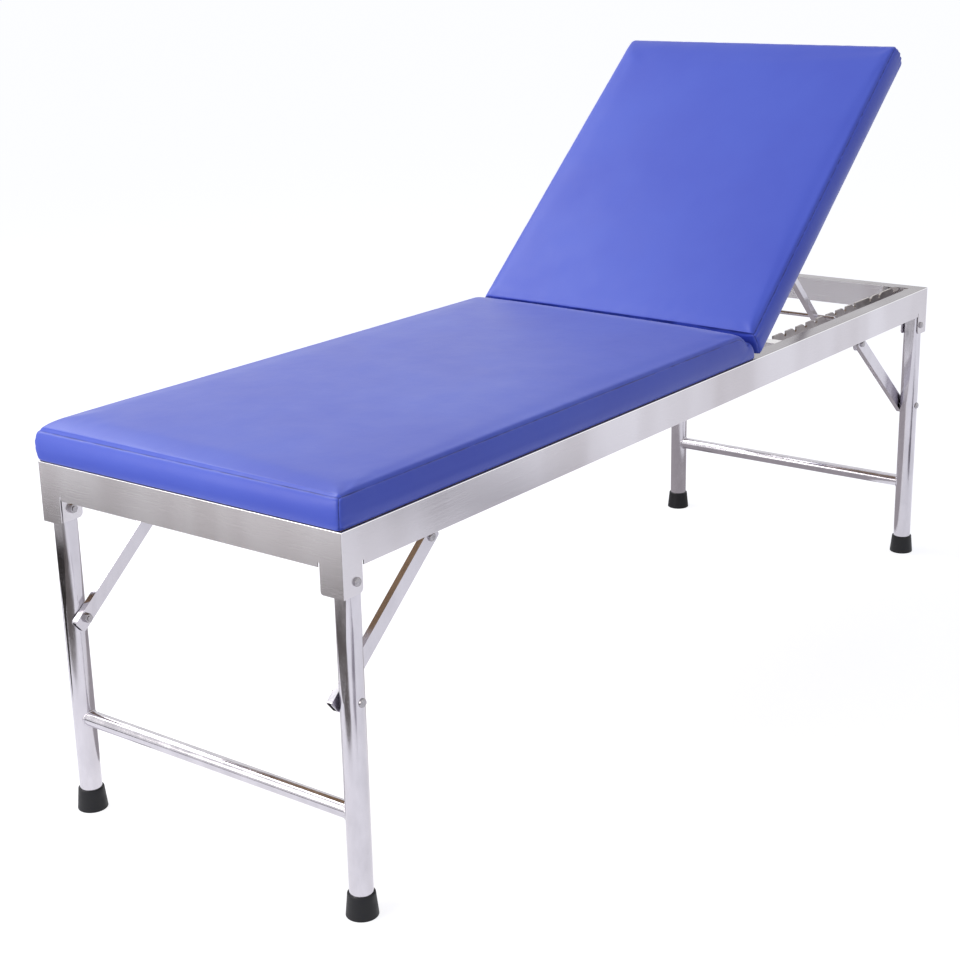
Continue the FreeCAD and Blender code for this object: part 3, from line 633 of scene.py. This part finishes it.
def make_sheet_steel():
    """Folded stainless sheet, satin brushed: soft grey with large faint clouds.

    Just below the flange tops runs a painted highlight, a white band where the bend would catch the light, and the
    tops themselves get painted shade, a darker grey.
    """
    found, tree, shader, place = material("satin brushed stainless sheet")
    # The real grit lines are about 0.1 mm apart; drawn at 0.7 mm so that they show
    streak = noise(tree, place, (160, 160, 0.7), 3.0, 0.6)
    smear = noise(tree, place, (170, 110, 900), 2.0)
    base = ramp(tree, streak, [(0.3, "#D6D3D8"), (0.7, "#DBD8DD")])
    base = mixed(tree, "MULTIPLY", scaled(tree, 0.0, 0.5, smear, 0.4, 0.75), base, linear("#C2BBB8"))
    height = add(tree, "ShaderNodeSeparateXYZ", links={0: place}).outputs["Z"]
    # Painted highlight: a white band just below the flange tops, where the bent edge would catch the light
    top_mm = frame_top / MM
    fold = scaled(tree, 0.0, 0.8, height, top_mm - 1.8, top_mm - 1.2)
    above = scaled(tree, 0.8, 0.0, height, top_mm - 0.5, top_mm - 0.1)
    fold = add(tree, "ShaderNodeMath", {"operation": "MINIMUM"}, {0: fold, 1: above}).outputs[0]
    base = mixed(tree, "MIX", fold, base, linear("#FFFFFF"))
    # Painted shade: the flange tops darkened by multiplying with grey
    top = scaled(tree, 0.0, 1.0, height, top_mm - 0.5, top_mm - 0.1)
    base = mixed(tree, "MULTIPLY", top, base, linear("#BAB8BA"))
    rough = scaled(tree, 0.22, 0.28, streak, 0.3, 0.7)
    finish(tree, shader, base, rough, bump(tree, streak, 0.0006), 1.0)
    return found


def make_tube_steel():
    """Welded stainless tube, buffed bright: sharp long reflections with faint rings and smudges."""
    found, tree, shader, place = material("buffed stainless tube")
    ring = noise(tree, place, (40, 40, 1.5), 3.0, 0.6)
    smudge = noise(tree, place, (30, 30, 70), 4.0, 0.6)
    base = ramp(tree, smudge, [(0.3, "#C3C0C7"), (0.7, "#D3D0D7")])
    rough = scaled(tree, 0.1, 0.24, smudge, 0.3, 0.75)
    relief = bump(tree, noise(tree, place, (25, 25, 120), 1.0), 0.12, bump(tree, ring, 0.006))
    finish(tree, shader, base, rough, relief, 1.0)
    return found


def make_bolt_steel():
    """Turned and tumbled stainless fasteners: bright, with tiny handling marks."""
    found, tree, shader, place = material("tumbled stainless fasteners")
    mark = noise(tree, place, (1.2, 1.2, 1.2), 3.0)
    base = ramp(tree, mark, [(0.35, "#8F8C90"), (0.65, "#BBB8BC")])
    finish(tree, shader, base, scaled(tree, 0.12, 0.28, mark, 0.3, 0.7), bump(tree, mark, 0.01), 1.0)
    return found


def make_rack_steel():
    """Cut steel strip with its mill finish: dull and a little blotched."""
    found, tree, shader, place = material("mill-finish steel strip")
    blotch = noise(tree, place, (14, 14, 14), 4.0, 0.6)
    grain = noise(tree, place, (40, 40, 0.8), 2.0)
    base = ramp(tree, blotch, [(0.3, "#B3AEAC"), (0.7, "#CBC7C4")])
    rough = scaled(tree, 0.32, 0.48, blotch, 0.3, 0.7)
    finish(tree, shader, base, rough, bump(tree, grain, 0.02), 1.0)
    return found


def make_rubber():
    """Moulded black rubber: near black with a faint blue cast, matte, with a fine mould grain."""
    found, tree, shader, place = material("moulded black rubber")
    dust = noise(tree, place, (9, 9, 9), 4.0)
    base = ramp(tree, dust, [(0.35, "#0D0E12"), (0.75, "#17181D")])
    rough = scaled(tree, 0.42, 0.62, dust, 0.3, 0.7)
    grain = noise(tree, place, (0.8, 0.8, 0.8), 2.0)
    finish(tree, shader, base, rough, bump(tree, grain, 0.04))
    shader.inputs["IOR"].default_value = 1.52
    shader.inputs["Specular IOR Level"].default_value = 0.35
    return found


def make_plywood():
    """Unfinished poplar plywood: pale straw veneer, its long grain along the couch, darker streaks."""
    found, tree, shader, place = material("poplar plywood")
    warp = noise(tree, place, (300, 60, 60), 2.0)
    bend = {"operation": "MULTIPLY_ADD", 1: (0, 26, 26)}
    bent = add(tree, "ShaderNodeVectorMath", bend, {0: warp, 2: place}).outputs[0]
    grain = noise(tree, bent, (160, 3.2, 3.2), 4.0, 0.6)
    pore = noise(tree, place, (12, 0.6, 0.6), 2.0)
    base = ramp(tree, grain, [(0.3, "#B08A5E"), (0.5, "#CBAA7C"), (0.72, "#DCC095")])
    base = mixed(tree, "MULTIPLY", scaled(tree, 0.0, 0.5, pore, 0.45, 0.75), base, linear("#A98861"))
    finish(tree, shader, base, scaled(tree, 0.55, 0.72, grain), bump(tree, pore, 0.05))
    return found


vinyl = make_vinyl()
finishes = {"blue_vinyl": vinyl,
            "satin_sheet": make_sheet_steel(),
            "polished_tube": make_tube_steel(),
            "bolt_steel": make_bolt_steel(),
            "rack_steel": make_rack_steel(),
            "black_rubber": make_rubber(),
            "board": make_plywood()}


def finish_nodes():
    """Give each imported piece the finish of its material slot."""
    for part in frame["record"]["subparts"]:
        obj = frame["nodes"][part["node"]]
        obj.data.materials.clear()
        obj.data.materials.append(finishes[part["material_slot"]])


# Pieces

def weld_bead(end, side):
    """The weld where a crossbar meets a leg: a rippled bead along the saddle line of the two tubes.

    The line is (r cos t, leg radius over its own chord, r sin t); the bead's section is a small circle.
    """
    steps, around = 120, 10
    t = np.linspace(0, 2 * pi, steps, endpoint=False)
    along = bar_radius * np.cos(t)
    to_leg = leg_y - np.sqrt(leg_radius ** 2 - along ** 2)
    line = np.stack([end * leg_x + along, side * to_leg, bar_z + bar_radius * np.sin(t)], -1)
    out = np.stack([np.cos(t), np.zeros_like(t), np.sin(t)], -1)
    across = np.tile(np.array([0.0, -side, 0.0]), (steps, 1))
    size = (bead_radius + 0.18 * np.sin(t * 34) + 0.15 * np.sin(t * 5 + end)) * MM
    a = np.linspace(0, 2 * pi, around, endpoint=False)
    ring = out[:, None] * np.cos(a)[None, :, None] + across[:, None] * np.sin(a)[None, :, None]
    points = line[:, None] + ring * size[:, None, None]
    faces = grid_faces(steps + 1, around, True) % (steps * around)
    return points.reshape(-1, 3), faces.tolist()


def make_welds():
    """The four weld beads of the crossbars."""
    for end, word in ((-1, "foot"), (1, "head")):
        points, faces = merge([weld_bead(end, side) for side in SIDES])
        obj = make_object(word + "_crossbar_welds", points, faces, word + "_legs",
                          finishes["polished_tube"])
        face_outwards(obj)


def face_outwards(obj):
    """Point every face of a closed mesh outwards."""
    shell = bmesh.new()
    shell.from_mesh(obj.data)
    bmesh.ops.remove_doubles(shell, verts=shell.verts, dist=1e-6)
    bmesh.ops.recalc_face_normals(shell, faces=shell.faces)
    shell.to_mesh(obj.data)
    shell.free()


def make_rod():
    """The prop's rod at its full length, resting in the notches, with chamfered ends."""
    end, neck = rod_half_length, rod_radius - rod_chamfer
    profile = [(neck, -end), (rod_radius, rod_chamfer - end), (rod_radius, -end / 2),
               (rod_radius, end / 2), (rod_radius, end - rod_chamfer), (neck, end)]
    points, faces = turned(profile)
    points = np.stack([rod_x + points[:, 0], points[:, 2], rod_z + points[:, 1]], -1)
    obj = make_object("prop_rod_full", points, faces, "prop", finishes["polished_tube"])
    face_outwards(obj)
    smooth_by_angle(obj)
    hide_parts("prop_rod")


def smooth_by_angle(obj, limit=35):
    """Smooth shading with the edges sharper than a limit kept crisp."""
    shell = bmesh.new()
    shell.from_mesh(obj.data)
    for edge in shell.edges:
        edge.smooth = len(edge.link_faces) == 2 and edge.calc_face_angle() < radians(limit)
    shell.to_mesh(obj.data)
    shell.free()


def rectangle(x0, x1, y0, y1, z):
    """The corners of a flat rectangle."""
    return [(x0, y0, z), (x1, y0, z), (x1, y1, z), (x0, y1, z)]


def hem_ring(length, outer, inner, thickness):
    """The cover's turned-under edge: a flat mitred ring below the board.

    It runs between two insets from the board's outline.
    """
    loops = []
    for inset, w in ((outer, 0.0), (outer, -thickness), (inner, -thickness), (inner, 0.0)):
        half = pad_half_width - inset
        loops.append(rectangle(inset, length - inset, -half, half, w))
    return np.array(loops).reshape(-1, 3), grid_faces(5, 4, True) % 16


def staples(length, inset, pitch, below):
    """A row of wire staples round the turned-under edge.

    Each is a flat crown, pressed in until a little stands out.
    """
    half = pad_half_width - inset
    along = np.arange(inset + pitch / 2, length - inset, pitch)
    across = np.arange(pitch / 2 - half, half, pitch)
    spots = [(u, side * half, 0) for side in SIDES for u in along]
    spots += [(u, v, 1) for u in (inset, length - inset) for v in across]
    box, faces = skin(np.array([-0.5, 0.5]), np.array([-0.5, 0.5]), np.array([-1.0, 0.0]))
    x, y, z = (box * np.array([staple_crown, 1.3 * staple_wire, staple_wire])).T
    parts = []
    for u, v, turn in spots:
        tilt = rng.uniform(-0.15, 0.15) + turn * pi / 2
        c, s = cos(tilt), sin(tilt)
        spun = np.stack([x * c - y * s, x * s + y * c, z], -1)
        parts.append((spun + np.array([u, v, staple_wire - below]), faces))
    return merge(parts)


def make_underside():
    """The backrest's turned-under cover with its staples."""
    points, faces = hem_ring(backrest_length, hem_outside, hem_inside, hem_thickness)
    obj = make_object("backrest_cover_hem", on_backrest_board(points), faces, "backrest",
                      vinyl, smooth=False)
    face_outwards(obj)
    store(obj, "seam_mm", np.full(len(obj.data.vertices), 50.0))
    points, faces = staples(backrest_length, staple_inset, staple_pitch, hem_thickness + staple_proud)
    obj = make_object("backrest_staples", on_backrest_board(points), faces, "backrest",
                      finishes["bolt_steel"], smooth=False)
    face_outwards(obj)


# Studio

def stage_plane(name, corners, look):
    """A flat sheet of the studio between four corners."""
    obj = make_object(name, corners, [[0, 1, 2, 3]], None, look, smooth=False)


def seen_directly(tree):
    """One for the camera's rays and for those by way of metal or glass, else zero."""
    path = add(tree, "ShaderNodeLightPath")
    seen = path.outputs["Is Camera Ray"]
    for kind in ("Is Glossy Ray", "Is Transmission Ray"):
        larger = add(tree, "ShaderNodeMath", {"operation": "MAXIMUM"}, {0: seen, 1: path.outputs[kind]})
        seen = larger.outputs[0]
    return seen


def make_floor():
    """A white floor that runs out of the picture and keeps a pale shadow."""
    found, tree = bare_material("white studio floor")
    diffuse = add(tree, "ShaderNodeBsdfDiffuse", {0: linear("#E9E9EB")})
    glow = add(tree, "ShaderNodeEmission", {0: linear("#FFFFFF"), 1: floor_glow})
    dim = add(tree, "ShaderNodeBsdfDiffuse", {0: linear("#AAAAAC")})
    both = add(tree, "ShaderNodeAddShader", links={0: glow.outputs[0], 1: dim.outputs[0]})
    links = {0: seen_directly(tree), 1: diffuse.outputs[0], 2: both.outputs[0]}
    mix = add(tree, "ShaderNodeMixShader", links=links)
    add(tree, "ShaderNodeOutputMaterial", links={0: mix.outputs[0]})
    corners = rectangle(-floor_reach, floor_reach, -floor_reach, floor_reach, 0)
    stage_plane("studio_floor", corners, found)


def make_reflection_sheet(name, corners, shade):
    """A painted reflection: a sheet that glows with a fixed shade and shows only to glossy rays, standing in for
    shade and surroundings that metal and vinyl reflect.
    """
    found, tree = bare_material(name + " cloth")
    # The painted reflection's colour: light that only glossy rays see
    cloth = add(tree, "ShaderNodeEmission", {0: linear(shade), 1: 1.0})
    clear = add(tree, "ShaderNodeBsdfTransparent")
    path = add(tree, "ShaderNodeLightPath")
    links = {0: path.outputs["Is Glossy Ray"], 1: clear.outputs[0], 2: cloth.outputs[0]}
    mix = add(tree, "ShaderNodeMixShader", links=links)
    add(tree, "ShaderNodeOutputMaterial", links={0: mix.outputs[0]})
    stage_plane(name, corners, found)


def make_world():
    """White where the camera, metal or glass sees it, and a softer level where it lights the object."""
    world = bpy.data.worlds.new("studio")
    bpy.context.scene.world = world
    world.use_nodes = True
    tree = world.node_tree
    tree.nodes.clear()
    seen_level = add(tree, "ShaderNodeBackground", {0: linear("#FFFFFF"), 1: 1.0})
    light_level = add(tree, "ShaderNodeBackground", {0: linear("#DDE2FF"), 1: world_light})
    links = {0: seen_directly(tree), 1: light_level.outputs[0], 2: seen_level.outputs[0]}
    mix = add(tree, "ShaderNodeMixShader", links=links)
    add(tree, "ShaderNodeOutputWorld", links={0: mix.outputs[0]})


def make_softbox(name, place, target, width, height, watts, colour):
    """A rectangular soft light that points at a target."""
    light = bpy.data.lights.new(name, "AREA")
    light.shape = "RECTANGLE"
    light.size = width
    light.size_y = height
    light.energy = watts
    light.color = linear(colour)[:3]
    obj = bpy.data.objects.new(name, light)
    bpy.context.scene.collection.objects.link(obj)
    obj.location = place
    obj.rotation_euler = (Vector(target) - Vector(place)).to_track_quat("-Z", "Y").to_euler()


def make_camera():
    """The camera that stands where the photo was taken."""
    camera = bpy.data.cameras.new("camera")
    camera.sensor_width = sensor
    camera.lens = focal_pixels / picture_size * sensor
    obj = bpy.data.objects.new("camera", camera)
    bpy.context.scene.collection.objects.link(obj)
    obj.location = camera_place
    obj.rotation_euler = [radians(a) for a in camera_turn]
    bpy.context.scene.camera = obj


def make_studio():
    """Floor, world, painted reflection sheets, soft lights and the camera."""
    make_floor()
    make_world()
    # Painted reflections: sheets that glow only for glossy rays
    for name, across, along, z, shade in reflection_sheets:
        make_reflection_sheet(name, rectangle(*across, *along, z), shade)
    for box in softboxes:
        make_softbox(*box)
    make_camera()
    bpy.context.scene.view_settings.view_transform = "Standard"


make_studio()
finish_nodes()
cushion("seat_cushion", seat_end - seat_start, seat_crown, 0, seat_end_roll, on_seat,
        "seat_pad", "frame")
cushion("backrest_cushion", backrest_length, backrest_crown, bevel_depth, None, on_backrest_board,
        "backrest_pad", "backrest")
make_underside()
make_rod()
make_welds()
